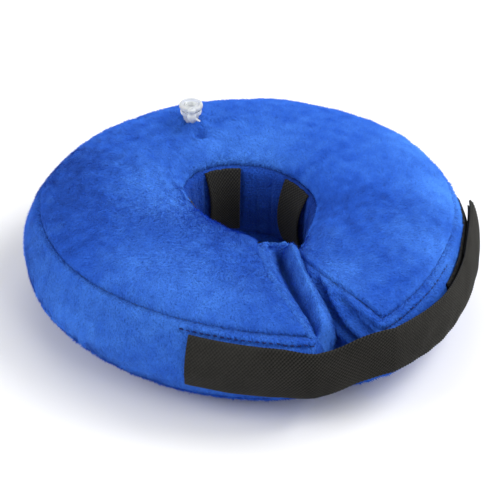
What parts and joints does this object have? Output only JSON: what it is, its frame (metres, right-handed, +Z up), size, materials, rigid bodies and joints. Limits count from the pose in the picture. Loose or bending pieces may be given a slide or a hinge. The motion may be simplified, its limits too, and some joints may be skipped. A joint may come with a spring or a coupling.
{
  "type": "inflatable recovery collar",
  "caption": "Inflated C-shaped neck collar with a plush cover, neck loops, an air valve and a webbing strap across its slit.",
  "frame": {"origin": "on the surface that the collar rests on, under the middle of the whole collar", "axes": "+Z up through the neck opening, -Y towards the slit, +Y towards the valve"},
  "size_m": [0.217, 0.2204, 0.0731],
  "materials": {
    "plush": "short-pile polyester plush, royal blue",
    "webbing": "ribbed woven webbing, black",
    "closing_tape": "hook and loop tape, black",
    "clear_pvc": "soft clear PVC, glossy"
  },
  "bodies": {
    "root": {"top_panel": "plush", "bottom_panel": "plush", "side_strip": "plush", "neck_strip": "plush", "bladder": "clear_pvc", "valve_stem": "clear_pvc", "valve_plug": "clear_pvc", "strap": "webbing", "hook_tape": "closing_tape", "loop_tape": "closing_tape", "neck_loop_back": "webbing", "neck_loop_right": "webbing", "neck_loop_left": "webbing"}
  },
  "joints": []
}
